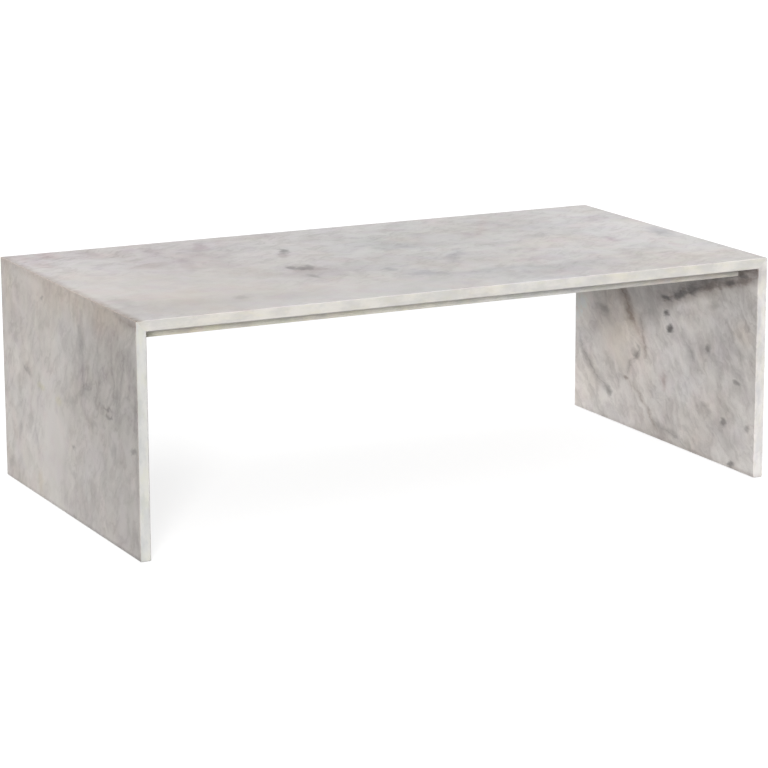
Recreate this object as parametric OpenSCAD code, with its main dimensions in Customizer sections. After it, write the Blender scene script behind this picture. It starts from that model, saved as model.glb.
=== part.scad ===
// Sled coffee table of thin marble slabs. The top turns down into a slab leg at each end, in a
// mitred and pinned corner, and a frame of stone rails under the top stiffens it.
// X runs along the length, the front faces -Y, and the floor is at Z = 0.

/* [Overall] */
// Length of the table from end to end
table_length = 1220; // [1000:10:1500]
// Depth of the table from front to back
table_depth = 650; // [500:10:800]
// Height of the stone, from the foot of the legs to the top surface
stone_height = 406; // [330:2:500]

/* [Slabs] */
// Thickness of the top and of both legs
slab_thickness = 19; // [18:0.5:30]
// How far the flat that eases each exposed edge of a slab cuts into both of its faces
slab_arris = 1; // [1:0.1:2.5]

/* [Mitred corners] */
// Thickness of the resin in each mitre
resin_thickness = 0.8; // [0.4:0.1:1.5]
// Diameter of the steel pins across each mitre
pin_diameter = 4; // [3:0.5:5]
// Length of the pins
pin_length = 15; // [10:1:16]
// Number of pins in each mitre
pin_count = 5; // [3:1:9]
// Distance from the front and back faces to the centre of the nearest pin
pin_end_distance = 65; // [30:5:120]
// Gap all round each pin in its bore
pin_clearance = 0.1; // [0.05:0.05:0.2]

/* [Stiffening frame] */
// Distance from the front and back faces of the table to the long rails
rail_setback = 65; // [40:5:120]
// Width of the long rails, laid flat against the top
long_rail_width = 40; // [30:5:80]
// Width of the end rails, in the corners between the top and the legs
end_rail_width = 40; // [30:5:80]
// Width of the rail across the middle
centre_rail_width = 40; // [30:5:80]
// Thickness of every rail, which is how far the frame hangs below the top
rail_thickness = 24; // [15:1:40]
// How far the flat that eases the lower edges of a rail cuts into both of its faces
rail_arris = 1; // [0.5:0.1:2]

/* [Foot pads] */
// Diameter of the pads under the legs
pad_diameter = 12; // [8:1:14]
// Thickness of the pads, which lift the stone off the floor
pad_thickness = 1.5; // [1:0.5:5]
// Number of pads under each leg
pad_count = 3; // [2:1:5]
// Distance from the front and back faces to the centre of the nearest pad
pad_end_distance = 50; // [20:5:120]

/* [Hidden] */

end_x = table_length / 2;               // outer face of the right leg
inner_x = end_x - slab_thickness;       // inner face of the right leg
rear_y = table_depth / 2;               // rear face of the top and the legs
foot_z = pad_thickness;                 // bottom of the legs
top_z = foot_z + stone_height;          // top surface
underside_z = top_z - slab_thickness;   // underside of the top
rail_foot_z = underside_z - rail_thickness;
frame_y = rear_y - rail_setback;        // outer face of the rear rail

seam = resin_thickness / (2 * sqrt(2)); // from the middle of a mitre to its stone, along X or Z
pin_bore_diameter = pin_diameter + 2 * pin_clearance;
pin_bore_length = pin_length + 2 * pin_clearance;

overshoot = 1;                          // how far a shape that trims another runs past it
round_fn = 48;

// Places along Y, evenly spaced, with the first and the last at end_distance from the faces
function places_along_y(count, end_distance) = [
    for (i = [0 : count - 1]) (2 * i / (count - 1) - 1) * (rear_y - end_distance)
];

// Runs a profile drawn in Y and Z along X, centred
module along_x(length) {
    rotate([90, 0, 90])
        linear_extrude(length, center = true)
            children();
}

// Runs a profile drawn in X and Z along Y, centred
module along_y(length) {
    rotate([90, 0, 0])
        linear_extrude(length, center = true)
            children();
}

// A slab's section with its four corners eased, from (u0, v0) to (u1, v1)
module slab_section(u0, v0, u1, v1) {
    polygon([
        [u0 + slab_arris, v0], [u1 - slab_arris, v0], [u1, v0 + slab_arris], [u1, v1 - slab_arris],
        [u1 - slab_arris, v1], [u0 + slab_arris, v1], [u0, v1 - slab_arris], [u0, v0 + slab_arris]
    ]);
}

// The top before it is mitred: its front and rear edges are eased, and it runs past both ends
module top_blank() {
    along_x(table_length + 2 * overshoot)
        slab_section(-rear_y, underside_z, rear_y, top_z);
}

// The right leg before it is mitred: its upright edges and the front and rear edges of its foot
// are eased, and it runs past its upper end
module leg_blank() {
    intersection() {
        linear_extrude(top_z + overshoot)
            slab_section(inner_x, -rear_y, end_x, rear_y);
        along_x(table_length + 2 * overshoot)
            slab_section(-rear_y, foot_z, rear_y, top_z + slab_arris + overshoot);
    }
}

// The pins of the right mitre, or their bores, square to the joint
module pin_row(diameter, length) {
    for (y = places_along_y(pin_count, pin_end_distance))
        translate([end_x - slab_thickness / 2, y, top_z - slab_thickness / 2])
            rotate([0, -45, 0])
                cylinder(d = diameter, h = length, center = true, $fn = round_fn);
}

module pin_bores() {
    pin_row(pin_bore_diameter, pin_bore_length);
}

// The top, mitred at both ends, with a row of blind bores in each mitre
module top_slab() {
    right_end = [
        [end_x - slab_arris, top_z],
        [end_x - slab_arris / 2 - seam, top_z - slab_arris / 2 + seam],
        [inner_x - 2 * seam, underside_z]
    ];
    left_end = [for (i = [2, 1, 0]) [-right_end[i].x, right_end[i].y]];
    color("gainsboro")
        difference() {
            intersection() {
                top_blank();
                along_y(table_depth + 2 * overshoot)
                    polygon(concat(right_end, left_end));
            }
            pin_bores();
            mirror([1, 0, 0]) pin_bores();
        }
}

// The right leg, mitred at its upper end, with a row of blind bores in the mitre
module leg() {
    color("lightgray")
        difference() {
            intersection() {
                leg_blank();
                along_y(table_depth + 2 * overshoot)
                    polygon([
                        [inner_x + slab_arris, foot_z], [end_x - slab_arris, foot_z],
                        [end_x, foot_z + slab_arris], [end_x, top_z - slab_arris],
                        [end_x - slab_arris / 2 + seam, top_z - slab_arris / 2 - seam],
                        [inner_x, underside_z - 2 * seam], [inner_x, foot_z + slab_arris]
                    ]);
            }
            pin_bores();
        }
}

// The resin that fills the right mitre, flush with the stone all round, with the pins through it
module mitre_resin() {
    color("tan")
        difference() {
            intersection() {
                top_blank();
                leg_blank();
                along_y(table_depth + 2 * overshoot)
                    polygon([
                        [end_x - slab_arris / 2 - seam, top_z - slab_arris / 2 + seam],
                        [end_x - slab_arris / 2 + seam, top_z - slab_arris / 2 - seam],
                        [inner_x, underside_z - 2 * seam], [inner_x, underside_z],
                        [inner_x - 2 * seam, underside_z]
                    ]);
            }
            pin_bores();
        }
}

// The pins of the right mitre
module mitre_pins() {
    color("silver")
        pin_row(pin_diameter, pin_length);
}

// A rail's section against the underside of the top, from u0 to u1, with its lower edges eased
module rail_section(u0, u1) {
    polygon([
        [u0 + rail_arris, rail_foot_z], [u1 - rail_arris, rail_foot_z],
        [u1, rail_foot_z + rail_arris], [u1, underside_z],
        [u0, underside_z], [u0, rail_foot_z + rail_arris]
    ]);
}

// The rear rail, from leg to leg
module long_rail() {
    color("lightgray")
        along_x(2 * inner_x)
            rail_section(frame_y - long_rail_width, frame_y);
}

// A rail between the long rails, from x0 to x1
module cross_rail(x0, x1) {
    color("lightgray")
        along_y(2 * (frame_y - long_rail_width))
            rail_section(x0, x1);
}

// The pads under the right leg
module foot_pads() {
    color("dimgray")
        for (y = places_along_y(pad_count, pad_end_distance))
            translate([end_x - slab_thickness / 2, y, 0])
                cylinder(d = pad_diameter, h = pad_thickness, $fn = round_fn);
}

top_slab();
mirror([1, 0, 0]) leg();  // left_leg
leg();  // right_leg
mirror([1, 0, 0]) mitre_resin();  // left_mitre_resin
mitre_resin();  // right_mitre_resin
mirror([1, 0, 0]) mitre_pins();  // left_mitre_pins
mitre_pins();  // right_mitre_pins
mirror([0, 1, 0]) long_rail();  // front_rail
long_rail();  // rear_rail
cross_rail(-inner_x, -inner_x + end_rail_width);  // left_end_rail
cross_rail(inner_x - end_rail_width, inner_x);  // right_end_rail
cross_rail(-centre_rail_width / 2, centre_rail_width / 2);  // centre_rail
mirror([1, 0, 0]) foot_pads();  // left_foot_pads
foot_pads();  // right_foot_pads
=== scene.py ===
"""Sled coffee table of white marble: finishes, floor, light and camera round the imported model."""
import math

import bpy
from mathutils import Matrix, Vector


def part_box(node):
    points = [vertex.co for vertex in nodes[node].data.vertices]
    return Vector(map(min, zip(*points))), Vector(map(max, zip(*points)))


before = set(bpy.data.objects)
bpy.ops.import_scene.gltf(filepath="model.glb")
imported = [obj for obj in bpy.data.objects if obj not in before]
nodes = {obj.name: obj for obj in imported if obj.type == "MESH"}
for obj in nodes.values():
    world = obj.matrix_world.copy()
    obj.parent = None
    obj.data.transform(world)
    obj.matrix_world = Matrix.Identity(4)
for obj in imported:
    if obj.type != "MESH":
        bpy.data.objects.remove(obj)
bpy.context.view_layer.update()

MM = 0.001                     # a millimetre, in metres

# Camera, as the photograph was taken
CAMERA_AZIMUTH = -26.48        # degrees round the table, 0 looks along +Y
CAMERA_ELEVATION = 12.89       # degrees above the horizon
CAMERA_ROLL = -0.22            # degrees, positive with the camera's right side up
CAMERA_DISTANCE = 5.525        # metres from the aim point
CAMERA_AIM = Vector((-0.0015, -0.0067, 0.1748))    # metres
CAMERA_LENS = 142.6            # millimetres
CAMERA_SENSOR = 36.0           # millimetres across

# Lamps, with angles in degrees
KEY_LIGHT = dict(azimuth=-30.0, elevation=16.0, strength=0.95, softness=13.0)
OVERHEAD_LIGHT = dict(azimuth=0.0, elevation=80.0, strength=0.38, softness=70.0)

# World
WORLD_COLOUR = 0.8
WORLD_LIGHT = 0.37             # its strength as light on the table, where the camera sees 1

# Floor
FLOOR_RADIUS = 30.0            # metres
FLOOR_CORNERS = 96
FLOOR_COLOUR = 0.35
FLOOR_GLOW = 0.81              # what the camera sees on top of the floor's own colour

# Faces of the slabs, in metres
UNDERSIDE_Z, TOP_Z = (corner.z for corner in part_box("top_slab"))
REAR_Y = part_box("top_slab")[1].y
LEFT_X, LEFT_INNER_X = (corner.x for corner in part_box("left_leg"))
RIGHT_INNER_X, RIGHT_X = (corner.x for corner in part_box("right_leg"))

# Patterns of the marble, in millimetres
TONE_SIZE = 150                # wide areas, darker or warmer or cooler than others
PATCH_SIZE = 40                # grey patches
STREAK_SIZE = 20               # grey streaks, measured across
HUE_SIZE = 50                  # patches of other tints
THREAD_SIZE = 22               # about from one dark thread to the next
CRYSTAL_SIZE = 1.6
BLOOM_SIZE = 40                # dull patches on the ground edges
FOLD_SIZE = 90                 # folds, which bend the stone's own pattern
FOLD_REACH = 70                # how far the folds push it about
WISP_SIZE = 20                 # wisps, which bend spots and veins
WISP_REACH = 22                # how far the wisps push them about
GRIT_SIZE = 13                 # breaks in veins and the ragged edges of spots

# Stains of the marble
STAIN_REACH = 2                # how far out the distance from a stain's centre counts, in radii
FAR_FACE = 0.6                 # from a cloud's centre to the far face of its slab, in radii
WHITEST = 0.9                  # no stone sends back more of the light than this

# Tints, each of which multiplies the stone's own colour
DARK = (0.15, 0.14, 0.14)
UMBER = (0.42, 0.35, 0.32)
RUST = (0.55, 0.43, 0.37)
GREY = (0.56, 0.55, 0.55)
BLUE = (0.66, 0.67, 0.72)
BROWN = (0.60, 0.51, 0.45)
MAUVE = (0.76, 0.68, 0.73)
ROSE = (0.88, 0.71, 0.72)
BEIGE = (0.98, 0.88, 0.74)
STRAW = (1.0, 0.995, 0.86)
SHADE = (0.86, 0.86, 0.86)
DUSK = (0.68, 0.675, 0.67)
WARM = (1.02, 0.972, 0.915)
COOL = (0.96, 0.98, 1.01)
BLUSH = (1.0, 0.96, 0.965)
LILAC = (0.98, 0.955, 1.0)
MOSS = (0.97, 0.985, 0.96)
LIGHT = (1.14, 1.14, 1.14)
MIST = (0.84, 0.855, 0.88)
SMOKE = (0.575, 0.545, 0.54)


class Nodes:
    """Makes shader nodes in one material, or in the world, and links them as it goes."""

    def __init__(self, owner):
        owner.use_nodes = True
        self.tree = owner.node_tree
        self.tree.nodes.clear()

    def put(self, socket, value):
        """Links a socket to another node's output, or sets it to a plain value."""
        if isinstance(value, bpy.types.NodeSocket):
            self.tree.links.new(value, socket)
        else:
            socket.default_value = value

    def node(self, kind, settings=(), **inputs):
        """A new node. Where an input's name has a space, it is given here with a _ instead."""
        made = self.tree.nodes.new("ShaderNode" + kind)
        for name, value in dict(settings).items():
            setattr(made, name, value)
        for name, value in inputs.items():
            self.put(made.inputs[name.replace("_", " ")], value)
        return made

    def math(self, operation, *values, clamp=False):
        made = self.node("Math", {"operation": operation, "use_clamp": clamp})
        for socket, value in zip(made.inputs, values):
            self.put(socket, value)
        return made.outputs[0]

    def vector(self, operation, *values):
        made = self.node("VectorMath", {"operation": operation})
        for socket, value in zip(made.inputs, values):
            self.put(socket, value)
        return made.outputs[0]

    def split(self, vector):
        """The three parts of a vector or a colour."""
        return self.node("SeparateXYZ", Vector=vector).outputs

    def join(self, x, y, z):
        return self.node("CombineXYZ", X=x, Y=y, Z=z).outputs[0]

    def mapped(self, place, centre=(0, 0, 0), turn=(0, 0, 0), scale=(1, 1, 1)):
        """place as seen from centre, turned by degrees round each axis, in units of scale."""
        return self.node("Mapping", {"vector_type": "TEXTURE"}, Vector=place, Location=centre,
                         Rotation=[math.radians(angle) for angle in turn], Scale=scale).outputs[0]

    def noise(self, place, size, detail=4.0, roughness=0.55, output=0):
        """Noise whose largest features are about size across, in place's own unit."""
        return self.node("TexNoise", Vector=place, Scale=1 / size, Detail=detail,
                         Roughness=roughness).outputs[output]

    def noises(self, place, size, **settings):
        """Three noises at once."""
        return self.split(self.noise(place, size, output="Color", **settings))

    def ramp(self, value, low, high, to_low=0.0, to_high=1.0):
        """Smooth step from to_low to to_high, while value goes from low to high."""
        return self.node("MapRange", {"interpolation_type": "SMOOTHSTEP"}, Value=value,
                         From_Min=low, From_Max=high, To_Min=to_low,
                         To_Max=to_high).outputs["Result"]

    def mix(self, factor, a, b, blend="MIX"):
        """Mixes two colours, each of them plain or another node's output."""
        made = self.node("Mix", {"data_type": "RGBA", "blend_type": blend}, Factor=factor)
        # the inputs for colours come after those for numbers and vectors
        for socket, colour in zip(made.inputs[6:8], (a, b)):
            self.put(socket, colour + (1,) if isinstance(colour, tuple) else colour)
        return made.outputs[2]

    def curve(self, value, points):
        """A smooth curve through points, each an (input, output) pair, level beyond both ends."""
        made = self.node("FloatCurve", Value=value)
        shape = made.mapping.curves[0]
        # a new curve has two points already
        for _ in points[2:]:
            shape.points.new(0.5, 0.5)
        for point, (x, y) in zip(shape.points, sorted(points)):
            point.location = (x, y)
        made.mapping.extend = "HORIZONTAL"
        made.mapping.update()
        return made.outputs[0]

    def position(self):
        """The position on the table, in metres."""
        return self.node("TexCoord").outputs["Object"]

    def looked_at(self):
        """1 for the camera and for reflections, and 0 for light on its way to the table."""
        rays = self.node("LightPath").outputs
        gloss = self.math("MAXIMUM", rays["Is Glossy Ray"], rays["Is Transmission Ray"])
        return self.math("MAXIMUM", rays["Is Camera Ray"], gloss)

    def front_or_rear(self):
        """1 on the ground edges, the faces that look straight forwards or backwards."""
        facing = self.split(self.node("NewGeometry").outputs["True Normal"])
        return self.ramp(self.math("ABSOLUTE", facing["Y"]), 0.8, 0.95)

    def bump(self, strength, depth, height):
        """A surface that goes up and down with height, by up to depth in metres."""
        return self.node("Bump", Strength=strength, Distance=depth, Height=height).outputs[0]

    def surface(self, **inputs):
        """The principled shader with those inputs, as the material's surface."""
        shader = self.node("BsdfPrincipled", **inputs)
        self.node("OutputMaterial", Surface=shader.outputs[0])


class Stone(Nodes):
    """The shader of one slab, in millimetres across, down and through it.

    place is the plain position. Folds bend it to folded, in which the stone's own pattern is
    drawn, and to wide, for calms and clouds. Wisps bend it to flat, for spots and veins.
    colour is the colour so far, patches is the stone's grey patches, and lively is how much of
    its own pattern shows.
    """

    def __init__(self, material, across, down, through, faces, stretch):
        """Each of the first three is a pair: an axis, with a minus sign in front of it where the
        coordinate runs the other way, and where on it the coordinate is 0."""
        super().__init__(material)
        axes = self.split(self.position())
        parts = []
        for axis, zero in (across, down, through):
            scale = (-1 if axis[0] == "-" else 1) / MM
            parts.append(self.math("MULTIPLY_ADD", axes[axis[-1]], scale, -scale * zero))
        self.place = self.join(*parts)
        self.lively = 1.0

        # calms and clouds fade on their way through the slab, so that the painted light and painted
        # shade among them stays mostly on the first of its faces
        fold = self.noise(self.place, FOLD_SIZE, detail=5, roughness=0.62, output="Color")
        self.folded = self.bent(self.place, fold, FOLD_REACH)
        x, y = self.split(self.folded)[:2]
        near, far = (face / MM for face in faces)
        depth = self.ramp(parts[2], near, far, 0, FAR_FACE / STAIN_REACH)
        self.wide = self.join(x, y, depth)

        # spots and veins run straight through it
        stretched = self.along(self.place, stretch, 0)
        wisp = self.noise(stretched, WISP_SIZE, detail=3, roughness=0.6, output="Color")
        self.flat = self.vector("MULTIPLY", self.bent(self.place, wisp, WISP_REACH), (1, 1, 0))

        # breaks in a vein, its core's way from side to side, and the ragged edge of a spot
        breaks, wander, edge = self.noises(stretched, GRIT_SIZE, detail=4, roughness=0.6)
        self.broken = self.ramp(breaks, 0.34, 0.54, 0.55, 1.0)
        self.wiggle = self.math("MULTIPLY_ADD", wander, 1.4, -0.7)
        self.rag = self.math("MULTIPLY_ADD", edge, 1.2, -0.6)

    def bent(self, place, bend, reach):
        """place pushed about by a noise colour, by up to about half of reach."""
        push = self.vector("SUBTRACT", bend, (0.5, 0.5, 0.5))
        return self.vector("MULTIPLY_ADD", push, (reach,) * 3, place)

    def seen_from(self, place, centre, turn, scale):
        """place as seen from a point of the face, turned on the face, in units of scale."""
        return self.mapped(place, (*centre, 0), (0, 0, turn), (*scale, 1))

    def along(self, place, times, turn):
        """place, changed so that noise in it comes out that many times longer at that turn."""
        return self.seen_from(place, (0, 0), turn, (times, 1))

    def stain(self, amount, tint):
        """Multiplies the colour by tint where amount is 1, and leaves it where amount is 0."""
        self.colour = self.mix(amount, self.colour, tint, blend="MULTIPLY")

    def mottled(self, light, grey, mottle, grain, grain_turn):
        """Grey mottle in three sizes, then wide areas that are warmer or cooler."""
        tone, warm, cool = self.noises(self.folded, TONE_SIZE, detail=3, roughness=0.5)
        self.patches = self.noise(self.folded, PATCH_SIZE, detail=5, roughness=0.56)
        streaks = self.noise(self.along(self.folded, grain, grain_turn), STREAK_SIZE,
                             detail=3, roughness=0.5)
        marks = self.math("ADD", self.ramp(self.patches, 0.3, 0.78, 0, mottle),
                          self.ramp(streaks, 0.32, 0.78, 0, mottle))
        marks = self.math("MULTIPLY", marks, self.lively)
        tone = self.ramp(tone, 0.3, 0.7, 0, 1.1 * mottle)
        self.colour = self.mix(self.math("ADD", tone, marks, clamp=True), light, grey)
        self.stain(self.ramp(warm, 0.4, 0.75, 0, 0.6), WARM)
        self.stain(self.ramp(cool, 0.4, 0.75, 0, 0.6), COOL)

    def tinted(self, tints):
        """Stone of other tints, each in patches of its own."""
        hues = self.noises(self.folded, HUE_SIZE, detail=5, roughness=0.6)
        for hue, tint in zip(hues, (LILAC, MOSS, BLUSH)):
            self.stain(self.ramp(hue, 0.45, 0.7, 0, tints), tint)

    def threaded(self, threads, grain, grain_turn):
        """Dark threads along the grain, where a noise crosses its middle value."""
        strand = self.along(self.folded, 1.5 * grain, grain_turn)
        thread = self.noise(strand, THREAD_SIZE, detail=2, roughness=0.5)
        aside = self.math("ABSOLUTE", self.math("SUBTRACT", thread, 0.5))
        amount = self.math("MULTIPLY", self.ramp(aside, 0, 0.09, threads, 0),
                           self.ramp(self.patches, 0.32, 0.56))
        self.stain(self.math("MULTIPLY", amount, self.lively), SMOKE)

    def distance(self, place, centre, radii, turn):
        """0 at centre, 1 on the ellipse round it with those radii, and at most STAIN_REACH."""
        seen = self.seen_from(place, centre, turn, [STAIN_REACH * radius for radius in radii])
        near = self.node("TexGradient", {"gradient_type": "SPHERICAL"}, Vector=seen)
        return self.math("MULTIPLY_ADD", near.outputs["Fac"], -STAIN_REACH, STAIN_REACH)

    def calm(self, centre, radii, turn, strength):
        """A wide area in which the stone's own pattern fades, or grows for a negative strength."""
        away = self.distance(self.wide, centre, radii, turn)
        self.lively = self.math("MULTIPLY", self.lively, self.ramp(away, 0.3, 1, 1 - strength, 1))

    def cloud(self, tint, centre, radii, turn, strength):
        """A wide, soft change of tone: the stone's own, and on some slabs painted light and painted
        shade.
        """
        away = self.distance(self.wide, centre, radii, turn)
        self.stain(self.ramp(away, 0, 1, strength, 0), tint)

    def spot(self, tint, centre, radii, turn, strength):
        """A small stain with a ragged edge."""
        away = self.distance(self.flat, centre, radii, turn)
        ragged = self.math("ADD", away, self.rag)
        self.stain(self.ramp(ragged, 0.15, 1, strength, 0), tint)

    def vein(self, tint, points, width, strength, place):
        """A vein through points: a soft halo with a thin core that wanders inside it. Each point
        is its two coordinates in place and how strong the vein is there."""
        # along and off the straight line between its ends, in units of that line's length
        first, last = (Vector(points[i][:2]) for i in (0, -1))
        length = (last - first).length
        turn = math.atan2(*reversed(last - first))
        seen = self.seen_from(place, first, math.degrees(turn), (length, length))
        way, off = self.split(seen)[:2]
        bends, weights = [], []
        for x, y, weight in points:
            local = Matrix.Rotation(-turn, 2) @ (Vector((x, y)) - first) / length
            bends.append((local.x, 0.5 + local.y))
            weights.append((local.x, weight))
        offset = self.math("SUBTRACT", self.math("ADD", off, 0.5), self.curve(way, bends))
        reach = width / length
        halo = self.ramp(self.math("ABSOLUTE", offset), 0.2 * reach, reach, 0.6 * strength, 0)
        wander = self.math("MULTIPLY_ADD", self.wiggle, reach, offset)
        core = self.ramp(self.math("ABSOLUTE", wander), 0, 0.4 * reach, strength, 0)
        body = self.math("MULTIPLY", self.math("MAXIMUM", halo, core), self.curve(way, weights))
        self.stain(self.math("MULTIPLY", body, self.broken), tint)

    def ground_edges(self, ground, share):
        """Duller stone on the ground edges, with bluish and straw-coloured patches."""
        edge = self.front_or_rear()
        self.colour = self.mix(self.math("MULTIPLY", edge, share), self.colour, ground)
        layered = self.vector("MULTIPLY", self.place, (1, 1, 2.5))
        misty, fair, _ = self.noises(layered, BLOOM_SIZE, detail=6, roughness=0.62)
        self.stain(self.math("MULTIPLY", edge, self.ramp(misty, 0.4, 0.62, 0, 0.85)), MIST)
        self.stain(self.math("MULTIPLY", edge, self.ramp(fair, 0.45, 0.65, 0, 0.45)), STRAW)


def marble(name, across, down, through, faces, light, grey, ground, share, mottle, threads,
           grain, grain_turn, stretch, tints, calms, clouds, spots, veins, rims):
    """Honed marble: a pattern of its own, with the slab's clouds, spots and veins on top. Some of
    the clouds, calms and rims are painted light and painted shade.

    across, down, through: the axis of each coordinate, and where on it the coordinate is 0
    faces: where the face in the photograph and the one behind it lie on the last axis
    light, grey: the stone between its grey marks, and the colour that the marks go to
    ground, share: the colour of the ground edges, and how far it covers the stone there
    mottle, threads, tints: strength of the grey marks, the dark threads and the other tints
    grain, grain_turn: how many times longer than wide the streaks are, and their direction
    stretch: how many times longer across than down the ragged edges of spots and veins are
    calms: centre, radii, turn and strength of each
    clouds, spots: tint, centre, radii, turn and strength of each
    veins, rims: tint, points, width and strength of each. Veins wander, and rims run straight

    Places are millimetres across and down the face in the photograph, from its rear left corner
    on the top and from its upper rear corner on a leg. Turns are degrees, from across to down.
    """
    material = bpy.data.materials.new(name)
    n = Stone(material, across, down, through, faces, stretch)
    for calm in calms:
        n.calm(*calm)
    n.mottled(light, grey, mottle, grain, grain_turn)
    n.tinted(tints)
    n.threaded(threads, grain, grain_turn)
    for cloud in clouds:
        n.cloud(*cloud)
    for spot in spots:
        n.spot(*spot)
    for vein in veins:
        n.vein(*vein, place=n.flat)
    for rim in rims:
        n.vein(*rim, place=n.place)

    crystals = n.noise(n.place, CRYSTAL_SIZE, detail=2)
    n.colour = n.mix(0.2, n.colour, n.ramp(crystals, 0.3, 0.7, 0.72, 1.0), blend="MULTIPLY")
    n.ground_edges(ground, share)
    n.surface(Base_Color=n.vector("MINIMUM", n.colour, (WHITEST,) * 3), IOR=1.49,
              Roughness=n.ramp(n.patches, 0.3, 0.8, 0.30, 0.42),
              Normal=n.bump(0.15, 0.4 * MM, n.math("ADD", crystals, n.patches)))
    return material


def seam_resin():
    """Resin coloured to the stone and ground flush, cloudy and full of stone dust."""
    material = bpy.data.materials.new("resin")
    n = Nodes(material)
    place = n.position()
    cloud = n.noise(place, 20 * MM, detail=4)
    dust = n.noise(place, 0.8 * MM, detail=2)
    colour = n.mix(n.ramp(cloud, 0.35, 0.65), (0.54, 0.47, 0.41), (0.43, 0.36, 0.31))
    colour = n.mix(n.ramp(dust, 0.5, 0.7, 0, 0.4), colour, (0.66, 0.62, 0.57))
    colour = n.mix(n.math("MULTIPLY", n.front_or_rear(), 0.85), colour, (0.62, 0.60, 0.56))
    n.surface(Base_Color=colour, Roughness=n.ramp(cloud, 0.3, 0.7, 0.34, 0.50),
              Normal=n.bump(0.2, 0.2 * MM, dust))
    return material


def drawn_steel():
    """Stainless wire, drawn through a die, so its scratches run along each pin."""
    material = bpy.data.materials.new("pin_steel")
    n = Nodes(material)
    x, y, z = n.split(n.position())
    place = n.join(n.math("ABSOLUTE", x), y, z)
    # the pins lean 45 degrees towards the middle of the table
    lengthwise = n.mapped(place, turn=(0, -45, 0), scale=(1, 1, 25))
    scratch = n.noise(lengthwise, 0.3 * MM, detail=3)
    haze = n.noise(place, 4 * MM, detail=3)
    colour = n.mix(n.ramp(haze, 0.35, 0.65), (0.62, 0.62, 0.63), (0.52, 0.52, 0.53))
    n.surface(Base_Color=colour, Metallic=1.0, Roughness=n.ramp(scratch, 0.3, 0.7, 0.22, 0.40),
              Normal=n.bump(0.25, 0.05 * MM, scratch))
    return material


def pad_rubber():
    """Grey rubber with a pebbled skin and a little dust."""
    material = bpy.data.materials.new("pad_rubber")
    n = Nodes(material)
    place = n.position()
    pebble = n.node("TexVoronoi", Vector=place, Scale=1 / (0.6 * MM)).outputs["Distance"]
    dust = n.noise(place, 5 * MM, detail=5)
    colour = n.mix(n.ramp(dust, 0.4, 0.7), (0.42, 0.42, 0.41), (0.56, 0.55, 0.53))
    n.surface(Base_Color=colour, Roughness=n.ramp(dust, 0.3, 0.7, 0.55, 0.75),
              Normal=n.bump(0.4, 0.1 * MM, pebble))
    return material


def dress(name, material):
    """Gives a piece that material all over."""
    nodes[name].data.materials.clear()
    nodes[name].data.materials.append(material)


def toward(azimuth, elevation):
    """Unit vector from the table towards something at that azimuth and elevation, in degrees."""
    a, e = math.radians(azimuth), math.radians(elevation)
    return Vector((math.sin(a) * math.cos(e), -math.cos(a) * math.cos(e), math.sin(e)))


def add_object(name, data):
    obj = bpy.data.objects.new(name, data)
    bpy.context.scene.collection.objects.link(obj)
    return obj


def add_camera():
    """The camera, which looks at the aim point and stands upright apart from its roll."""
    back = toward(CAMERA_AZIMUTH, CAMERA_ELEVATION)
    data = bpy.data.cameras.new("camera")
    data.sensor_width = CAMERA_SENSOR
    data.lens = CAMERA_LENS
    data.clip_end = 100.0
    camera = add_object("camera", data)
    level = (-back).to_track_quat("-Z", "Y").to_matrix()
    roll = Matrix.Rotation(math.radians(CAMERA_ROLL), 3, "Z")
    camera.matrix_world = (Matrix.Translation(CAMERA_AIM + CAMERA_DISTANCE * back)
                           @ (level @ roll).to_4x4())
    bpy.context.scene.camera = camera


def add_sun(name, azimuth, elevation, strength, softness):
    """A distant lamp. A white surface square to it renders as bright as its strength says."""
    data = bpy.data.lights.new(name, "SUN")
    data.energy = strength * math.pi
    data.angle = math.radians(softness)
    sun = add_object(name, data)
    sun.rotation_euler = toward(azimuth, elevation).to_track_quat("Z", "Y").to_euler()


def add_world():
    """Even light from all round, which the camera and reflections see at full strength."""
    world = bpy.data.worlds.new("studio")
    bpy.context.scene.world = world
    n = Nodes(world)
    strength = n.node("MapRange", Value=n.looked_at(), To_Min=WORLD_LIGHT, To_Max=1.0)
    background = n.node("Background", Color=(WORLD_COLOUR,) * 3 + (1,),
                        Strength=strength.outputs["Result"])
    n.node("OutputWorld", Surface=background.outputs[0])


def floor_paint():
    """Paint with a glow that the camera and reflections see, but that lights nothing."""
    material = bpy.data.materials.new("floor")
    n = Nodes(material)
    paint = n.node("BsdfDiffuse", Color=(FLOOR_COLOUR,) * 3 + (1,))
    glow = n.node("Emission", Strength=n.math("MULTIPLY", n.looked_at(), FLOOR_GLOW))
    both = n.node("AddShader")
    n.put(both.inputs[0], paint.outputs[0])
    n.put(both.inputs[1], glow.outputs[0])
    n.node("OutputMaterial", Surface=both.outputs[0])
    return material


def add_floor():
    mesh = bpy.data.meshes.new("floor")
    turns = [2 * math.pi * i / FLOOR_CORNERS for i in range(FLOOR_CORNERS)]
    ring = [(FLOOR_RADIUS * math.cos(turn), FLOOR_RADIUS * math.sin(turn), 0.0) for turn in turns]
    mesh.from_pydata(ring, [], [tuple(range(FLOOR_CORNERS))])
    mesh.materials.append(floor_paint())
    floor = add_object("floor", mesh)


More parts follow.
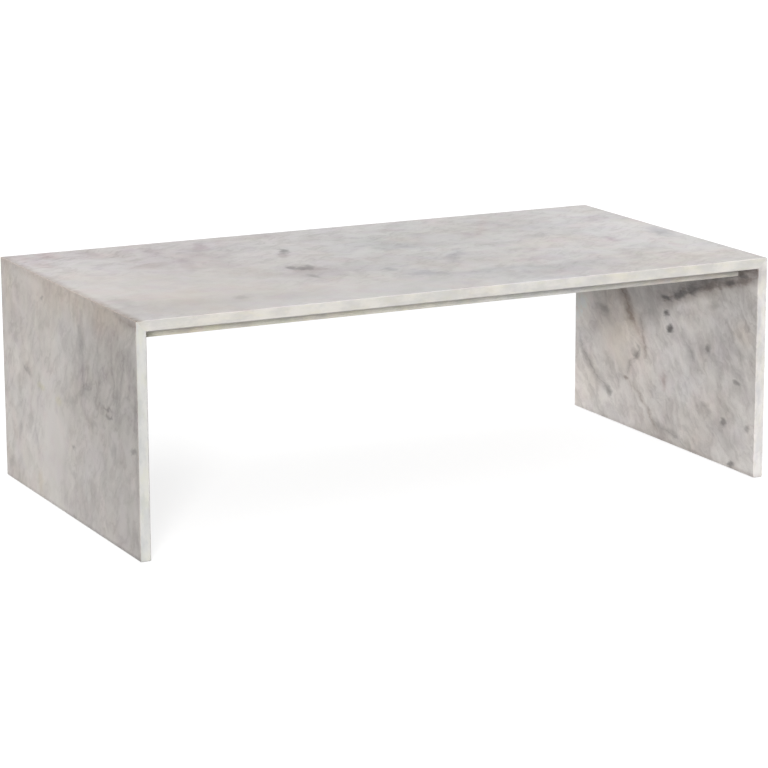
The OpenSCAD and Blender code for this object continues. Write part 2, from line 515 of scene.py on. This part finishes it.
# The marble of each slab, as marble() takes it
SLABS = {
    "top_slab": dict(
        across=("X", LEFT_X), down=("-Y", REAR_Y), through=("Z", 0.0),
        faces=(TOP_Z, UNDERSIDE_Z),
        light=(0.675, 0.658, 0.647), grey=(0.43, 0.415, 0.405), ground=(0.65, 0.628, 0.573),
        share=0.65, mottle=0.18, threads=0.26, grain=3.4, grain_turn=-35, stretch=1, tints=1.2,
        calms=[
            ((150, 430), (330, 260), 0, 0.75), ((330, 590), (420, 110), 0, 0.7),
            ((560, 600), (300, 90), 0, 0.5), ((120, 60), (240, 120), 0, -0.6),
            ((600, 100), (300, 110), 0, -0.3),
        ],
        clouds=[
            (WARM, (120, 470), (620, 360), 0, 0.7), (BLUSH, (260, 130), (440, 300), 0, 0.9),
            (WARM, (1130, 600), (300, 190), 0, 0.5), (WARM, (960, 340), (150, 80), 0, 0.7),
            (MOSS, (720, 200), (300, 200), 0, 0.8), (SHADE, (260, 175), (260, 160), -20, 0.8),
            (SHADE, (400, 360), (260, 190), 0, 0.6), (SHADE, (680, 190), (260, 190), 0, 0.8),
            (DUSK, (130, 565), (380, 90), 0, 0.55), (DUSK, (740, 550), (380, 100), 3, 0.25),
            (SHADE, (900, 120), (260, 200), 0, 0.6), (SHADE, (640, 400), (260, 130), 0, 0.8),
            (SHADE, (520, 590), (400, 110), 0, 0.4), (LIGHT, (1160, 300), (200, 460), 0, 0.9),
            (LIGHT, (960, 360), (170, 120), 0, 0.5), (LIGHT, (70, 230), (170, 240), 0, 0.5),
            (LIGHT, (1122, 569), (110, 70), 0, 0.4), (SHADE, (1049, 390), (90, 50), 0, 0.3),
            (SHADE, (230, 490), (330, 130), 5, 0.5), (SHADE, (340, 130), (140, 150), 0, 0.25),
            (LIGHT, (93, 75), (90, 70), 0, 0.35), (LIGHT, (680, 75), (90, 70), 0, 0.25),
        ],
        spots=[
            (ROSE, (24, 32), (34, 56), 0, 0.5), (ROSE, (78, 28), (34, 56), 0, 0.7),
            (ROSE, (40, 95), (30, 60), 0, 0.4), (MAUVE, (150, 60), (30, 70), 10, 0.3),
            (MAUVE, (358, 75), (26, 60), 20, 0.8), (MAUVE, (262, 85), (30, 60), 25, 0.5),
            (MAUVE, (232, 40), (20, 50), 10, 0.4), (BROWN, (210, 205), (70, 34), -25, 0.3),
            (MAUVE, (265, 235), (26, 80), 12, 0.5), (GREY, (330, 270), (50, 70), 10, 0.25),
            (MAUVE, (450, 400), (130, 70), 0, 0.4), (GREY, (610, 320), (40, 60), 0, 0.25),
            (DARK, (478, 187), (15, 34), 24, 0.7), (UMBER, (458, 228), (14, 40), 24, 0.4),
            (DARK, (421, 345), (13, 32), 4, 0.5), (DARK, (455, 350), (11, 30), 22, 0.5),
            (DARK, (425, 430), (12, 36), 0, 0.35), (UMBER, (440, 360), (42, 60), 0, 0.35),
            (DARK, (438, 358), (17, 22), 0, 0.6), (GREY, (235, 545), (20, 20), 0, 0.4),
            (BROWN, (475, 30), (100, 34), 0, 0.35), (BLUE, (605, 490), (52, 48), 15, 0.7),
            (BLUE, (572, 430), (22, 26), 0, 0.7), (BLUE, (705, 240), (90, 50), 0, 0.5),
            (GREY, (950, 262), (50, 26), 0, 0.3), (MAUVE, (852, 195), (18, 48), 20, 0.5),
            (MAUVE, (865, 465), (66, 34), 0, 0.5), (BLUE, (1192, 325), (34, 80), 10, 0.8),
            (MAUVE, (1070, 350), (14, 46), 10, 0.7), (GREY, (1060, 480), (60, 26), 0, 0.3),
            (GREY, (1062, 520), (60, 18), 0, 0.3), (BLUE, (1150, 150), (90, 50), 0, 0.3),
            (GREY, (40, 490), (30, 60), 0, 0.4),
        ],
        veins=[
            (BLUE, [(560, 500, 0), (640, 515, 0.8), (690, 530, 1), (760, 515, 1), (840, 540, 0.8),
                    (930, 525, 0.9), (985, 515, 0)], 36, 0.6),
            (GREY, [(700, 560, 0), (760, 575, 0.7), (850, 565, 0.9), (960, 570, 0)], 40, 0.35),
            (BLUE, [(775, 305, 0), (750, 345, 0.9), (722, 385, 1), (698, 430, 0)], 20, 0.8),
            (ROSE, [(985, 20, 0), (930, 110, 1), (885, 185, 0.8), (850, 240, 0)], 16, 0.5),
            (MAUVE, [(372, 55, 0), (345, 110, 0.9), (300, 165, 0.8), (215, 215, 0.6),
                     (180, 225, 0)], 26, 0.6),
            (GREY, [(690, 165, 0), (660, 225, 0.8), (640, 275, 0)], 16, 0.4),
            (GREY, [(1040, 190, 0), (990, 250, 0.6), (900, 300, 0.6), (820, 330, 0)], 18, 0.35),
        ],
        rims=[
            (BROWN, [(0, 0, 0.8), (0, 200, 0.7), (0, 400, 0.9), (0, 650, 1)], 18, 1.0),
            (UMBER, [(0, 560, 0), (0, 620, 0.8), (0, 650, 1)], 22, 0.7),
        ]),
    "left_leg": dict(
        across=("-Y", REAR_Y), down=("-Z", TOP_Z), through=("X", 0.0),
        faces=(LEFT_X, LEFT_INNER_X),
        light=(0.627, 0.589, 0.553), grey=(0.335, 0.305, 0.283), ground=(0.635, 0.635, 0.612),
        share=0.82, mottle=0.22, threads=0.30, grain=2.3, grain_turn=-60, stretch=1, tints=0.9,
        calms=[
            ((255, 300), (90, 130), 0, 1.0), ((150, 350), (110, 70), 0, 0.4),
            ((40, 130), (110, 190), 0, -0.2), ((520, 120), (200, 150), 0, -0.5),
        ],
        clouds=[
            # painted shade: the dusk cloud at (650, 90) and the shade clouds at (480, 110) and
            # (650, 340) darken the outer face towards the front
            (DUSK, (650, 90), (480, 330), 0, 0.9), (SHADE, (480, 110), (240, 160), 0, 0.6),
            (SHADE, (650, 340), (480, 300), 0, 1.0), (LIGHT, (100, 330), (330, 160), 0, 0.55),
            (SHADE, (140, 60), (280, 160), 0, 0.4), (WARM, (350, 10), (360, 70), -3, 0.7),
            (SHADE, (610, 370), (130, 70), 0, 0.7), (SHADE, (215, 340), (110, 120), 0, 0.3),
            (BEIGE, (330, 25), (230, 46), -3, 0.3), (BLUSH, (510, 40), (120, 22), 0, 0.7),
            (MOSS, (320, 62), (110, 40), 0, 0.8), (BEIGE, (30, 50), (70, 90), 0, 0.4),
            (BEIGE, (540, 18), (150, 40), 0, 0.45), (LIGHT, (50, 50), (55, 50), 0, 0.35),
            (SHADE, (250, 320), (90, 90), 0, 0.45), (SHADE, (190, 225), (90, 50), 0, 0.35),
            (LIGHT, (597, 110), (60, 60), 0, 0.4), (SHADE, (130, 43), (55, 45), 0, 0.4),
            (SHADE, (597, 353), (60, 45), 0, 0.3),
        ],
        spots=[
            (GREY, (394, 75), (30, 50), 10, 0.5), (GREY, (400, 120), (26, 60), 5, 0.3),
            (DARK, (425, 155), (30, 9), -15, 0.35), (DARK, (521, 188), (26, 7), 0, 0.55),
            (DARK, (515, 174), (30, 4), 0, 0.45), (DARK, (632, 222), (24, 7), -15, 0.55),
            (GREY, (560, 148), (10, 30), 15, 0.6), (DARK, (640, 155), (10, 50), 5, 0.35),
            (DARK, (130, 185), (32, 8), 15, 0.35), (GREY, (86, 300), (12, 34), 30, 0.5),
            (DARK, (350, 276), (16, 7), 0, 0.45), (DARK, (210, 40), (15, 6), -20, 0.45),
            (GREY, (335, 195), (50, 12), -15, 0.4), (GREY, (30, 375), (30, 12), 0, 0.45),
            (GREY, (410, 170), (40, 16), 0, 0.4), (GREY, (350, 325), (26, 10), 10, 0.35),
            (GREY, (455, 215), (26, 9), 0, 0.4), (GREY, (540, 240), (26, 14), -20, 0.5),
            (STRAW, (282, 207), (26, 11), 0, 1.0), (STRAW, (196, 200), (30, 9), 0, 1.0),
            (BEIGE, (180, 375), (18, 30), 0, 0.4), (BLUE, (270, 230), (12, 9), 0, 0.3),
        ],
        veins=[
            (GREY, [(608, 55, 0), (590, 95, 1), (570, 150, 0.9), (548, 195, 0)], 12, 0.8),
            (GREY, [(620, 45, 0), (612, 90, 0.8), (640, 140, 0)], 10, 0.5),
            (GREY, [(330, 250, 0), (315, 300, 0.8), (300, 350, 0.8), (310, 405, 0)], 22, 0.3),
            (GREY, [(545, 45, 0), (540, 90, 1), (548, 130, 1), (545, 175, 0)], 9, 0.6),
            (GREY, [(578, 40, 0), (572, 80, 1), (562, 120, 0.8), (560, 165, 0)], 8, 0.5),
            (GREY, [(395, 60, 0), (402, 105, 1), (406, 145, 0.9), (418, 190, 0)], 12, 0.5),
            (GREY, [(480, 70, 0), (474, 110, 0.9), (484, 150, 0.8), (480, 190, 0)], 9, 0.45),
            (GREY, [(520, 215, 0), (545, 235, 1), (540, 265, 0.8), (520, 280, 0)], 8, 0.5),
            (GREY, [(140, 255, 0), (165, 300, 0.8), (180, 330, 0)], 9, 0.5),
            (GREY, [(345, 205, 0), (380, 180, 0.8), (430, 160, 0.6), (480, 190, 0)], 12, 0.5),
        ],
        rims=[
            (RUST, [(0, 3, 0.6), (120, 4, 0.55), (300, 5, 0.35), (560, 5, 0.4), (650, 6, 0.5)],
             14, 0.7),
            (UMBER, [(560, 6, 0), (600, 9, 0.7), (650, 9, 1)], 16, 0.7),
            # painted shade: a dark line along the foot, where the leg meets the floor
            (DARK, [(0, 404, 0.4), (300, 404, 0.7), (650, 404, 1)], 6, 0.6),
            (GREY, [(3, 30, 0.8), (3, 160, 0.4), (3, 400, 0.4)], 6, 0.6),
            (GREY, [(645, 130, 0), (645, 200, 0.8), (645, 300, 0.7), (645, 400, 0.2)], 12, 0.5),
        ]),
    "right_leg": dict(
        across=("-Y", REAR_Y), down=("-Z", UNDERSIDE_Z), through=("X", 0.0),
        faces=(RIGHT_INNER_X, RIGHT_X),
        # the light colour is paler than the left leg's: partly the stone's own, and partly painted
        # light that lifts the inner face out of the shade under the top
        light=(0.88, 0.846, 0.811), grey=(0.455, 0.421, 0.401), ground=(0.70, 0.68, 0.665),
        share=0.6, mottle=0.31, threads=0.26, grain=2.6, grain_turn=42, stretch=2.2, tints=0.6,
        calms=[
            ((150, 225), (70, 60), 30, 0.6), ((590, 120), (130, 80), 0, -0.5),
            # the calm at (20, 150) is painted light: it fades the grey marks in the shaded corner
            # near the rear top edge
            ((20, 150), (70, 50), 0, 0.5),
        ],
        clouds=[
            (WARM, (170, 190), (190, 130), 20, 0.7), (BEIGE, (150, 225), (90, 60), 30, 0.15),
            (SHADE, (235, 150), (110, 60), 10, 0.9), (BLUSH, (200, 330), (170, 70), 20, 0.3),
            # the dusk clouds at (310, 125), (500, 50) and (600, 70), the shade cloud at (450, 120)
            # and the grey cloud at (530, 42) are a dark band in the stone together with painted
            # shade under the top
            (DUSK, (310, 125), (120, 50), -10, 0.7), (DUSK, (500, 50), (250, 60), -14, 0.7),
            (DUSK, (600, 70), (130, 90), 0, 0.6), (SHADE, (450, 120), (220, 60), -10, 0.9),
            # painted light: the light clouds at (25, 170) and (20, 175) lift the shade in the rear
            # corner under the top
            (LIGHT, (25, 170), (85, 60), 0, 1.0), (LIGHT, (20, 175), (70, 60), 0, 1.0),
            (GREY, (530, 42), (170, 24), -13, 0.5), (SHADE, (150, 182), (75, 55), 0, 1.0),
            # the light cloud at (20, 330) is painted light along the shaded rear edge
            (LIGHT, (20, 330), (170, 260), 0, 0.75), (SHADE, (560, 150), (200, 60), -5, 0.8),
            (SHADE, (650, 200), (60, 160), 0, 0.8), (LIGHT, (230, 340), (220, 70), 0, 0.5),
            (BEIGE, (605, 130), (60, 34), 0, 0.3), (SHADE, (280, 125), (90, 60), 0, 0.7),
            (SHADE, (560, 310), (100, 60), 0, 0.6), (SHADE, (595, 77), (70, 32), 0, 0.6),
            # the light cloud at (40, 300) is painted light along the shaded rear edge
            (SHADE, (415, 212), (60, 36), 0, 0.35), (LIGHT, (40, 300), (60, 40), 0, 0.6),
            (LIGHT, (505, 302), (60, 36), 0, 0.6), (LIGHT, (595, 257), (60, 36), 0, 0.6),
            (SHADE, (595, 350), (70, 36), 0, 0.5),
        ],
        spots=[
            (DARK, (341, 136), (16, 13), 0, 1.0), (DARK, (355, 166), (19, 14), -20, 1.0),
            (DARK, (490, 177), (12, 13), 10, 0.6), (DARK, (546, 304), (14, 15), 0, 0.6),
            (DARK, (592, 222), (20, 7), 0, 0.5), (DARK, (627, 300), (13, 10), 0, 0.5),
            (DARK, (572, 380), (14, 9), 0, 0.7), (ROSE, (335, 266), (26, 24), -20, 0.3),
            (GREY, (108, 168), (42, 24), 10, 0.85), (UMBER, (110, 168), (20, 11), 10, 0.4),
            (UMBER, (198, 292), (12, 7), 0, 0.8), (DARK, (134, 331), (18, 14), 40, 0.4),
            (GREY, (230, 238), (20, 12), 30, 0.7), (UMBER, (200, 130), (34, 14), 30, 0.6),
            (GREY, (425, 195), (30, 12), 30, 0.5), (GREY, (480, 290), (34, 10), 20, 0.4),
            (DARK, (338, 107), (32, 8), -8, 0.9), (DARK, (385, 94), (42, 14), -16, 0.9),
            (DARK, (435, 76), (46, 16), -18, 0.8), (UMBER, (490, 58), (44, 14), -18, 0.9),
            (UMBER, (550, 44), (44, 14), -16, 0.9), (UMBER, (605, 28), (40, 15), -12, 0.8),
            (DARK, (560, 40), (26, 6), -15, 0.7), (DARK, (600, 22), (24, 6), -10, 0.7),
            (GREY, (505, 95), (40, 10), -12, 0.4), (BROWN, (336, 270), (10, 26), 0, 0.35),
            (GREY, (505, 190), (44, 14), 20, 0.5), (GREY, (585, 204), (50, 14), 10, 0.4),
            (GREY, (590, 165), (40, 16), 30, 0.4), (UMBER, (181, 114), (30, 24), 55, 0.45),
            (UMBER, (211, 158), (32, 24), 55, 0.4),
        ],
        veins=[
            (UMBER, [(300, 112, 0), (350, 104, 1), (420, 82, 1), (480, 62, 0.9), (560, 40, 0.8),
                     (640, 18, 0.7)], 28, 0.9),
            (GREY, [(350, 92, 0), (420, 68, 1), (520, 40, 1), (600, 16, 1), (650, 6, 1)], 24, 0.7),
            (BROWN, [(172, 105, 0.9), (188, 130, 1), (212, 162, 0.9), (240, 190, 0.5),
                     (262, 206, 0.4), (268, 235, 0)], 34, 0.9),
            (UMBER, [(166, 100, 1), (188, 130, 1), (212, 162, 0.8), (236, 186, 0)], 24, 0.3),
            (BROWN, [(178, 118, 0), (196, 140, 1), (222, 168, 0.8), (246, 196, 1),
                     (262, 222, 0)], 14, 0.5),
            (UMBER, [(250, 150, 0), (252, 180, 0.8), (264, 210, 1), (266, 240, 0)], 9, 0.7),
            (GREY, [(215, 205, 0), (242, 226, 1), (228, 246, 1), (206, 268, 0.7), (194, 290, 0)],
             12, 1.0),
            (GREY, [(15, 235, 0), (25, 256, 0.8), (50, 282, 1), (85, 307, 1), (120, 323, 0.9),
                    (145, 335, 0)], 18, 1.0),
            (GREY, [(115, 318, 0), (150, 300, 0.6), (200, 292, 0)], 12, 0.5),
            (UMBER, [(190, 292, 0), (235, 306, 0.6), (268, 328, 0.8), (298, 355, 0.8),
                     (318, 376, 0)], 10, 0.8),
            (GREY, [(295, 350, 0), (330, 362, 0.9), (375, 366, 1), (420, 386, 0)], 13, 1.0),
            (GREY, [(400, 340, 0), (430, 352, 0.9), (458, 385, 0)], 11, 0.7),
            (GREY, [(398, 160, 0), (428, 195, 0.9), (455, 225, 0.6), (500, 260, 0)], 20, 0.5),
            (GREY, [(240, 175, 0), (262, 152, 0.8), (300, 140, 0)], 14, 0.6),
            (GREY, [(440, 300, 0), (480, 292, 0.8), (530, 325, 0.6), (560, 340, 0)], 14, 0.45),
        ],
        rims=[
            # both rims are painted shade: a dark line along the foot where it meets the floor, and
            # the shadow right under the top at the front corner
            (UMBER, [(0, 384, 0.3), (650, 384, 0.7)], 6, 0.6),
            (UMBER, [(570, 4, 0), (610, 4, 1), (650, 4, 1)], 14, 0.7),
        ]),
}

# The rails are sawn from the same stone as the top, without its stains. Their paler colour is
# partly painted light that lifts the strip in the shade under the top, and the dusk cloud at their
# right end is painted shade beside the right leg
RAILS = dict(
    SLABS["top_slab"], faces=(UNDERSIDE_Z, TOP_Z),
    light=(0.90, 0.88, 0.825), grey=(0.68, 0.66, 0.61), share=0, mottle=0.09, threads=0.12,
    calms=[], spots=[], veins=[], rims=[],
    clouds=[
        # the dusk cloud at (1150, 585) is painted shade beside the right leg
        (DUSK, (1150, 585), (500, 200), 0, 0.5), (STRAW, (200, 585), (600, 200), 0, 0.7),
    ])


# Camera, floor and light
add_camera()
add_world()
add_floor()
add_sun("key", **KEY_LIGHT)
add_sun("overhead", **OVERHEAD_LIGHT)
bpy.context.scene.view_settings.view_transform = "Standard"

# Finishes
for name, stone in SLABS.items():
    dress(name, marble(name + "_marble", **stone))
rail_marble = marble("rail_marble", **RAILS)
for name in ("front_rail", "rear_rail", "left_end_rail", "right_end_rail", "centre_rail"):
    dress(name, rail_marble)
resin = seam_resin()
steel = drawn_steel()
rubber = pad_rubber()
for side in ("left", "right"):
    dress(side + "_mitre_resin", resin)
    dress(side + "_mitre_pins", steel)
    dress(side + "_foot_pads", rubber)

# Bring the scene up to date
bpy.context.view_layer.update()
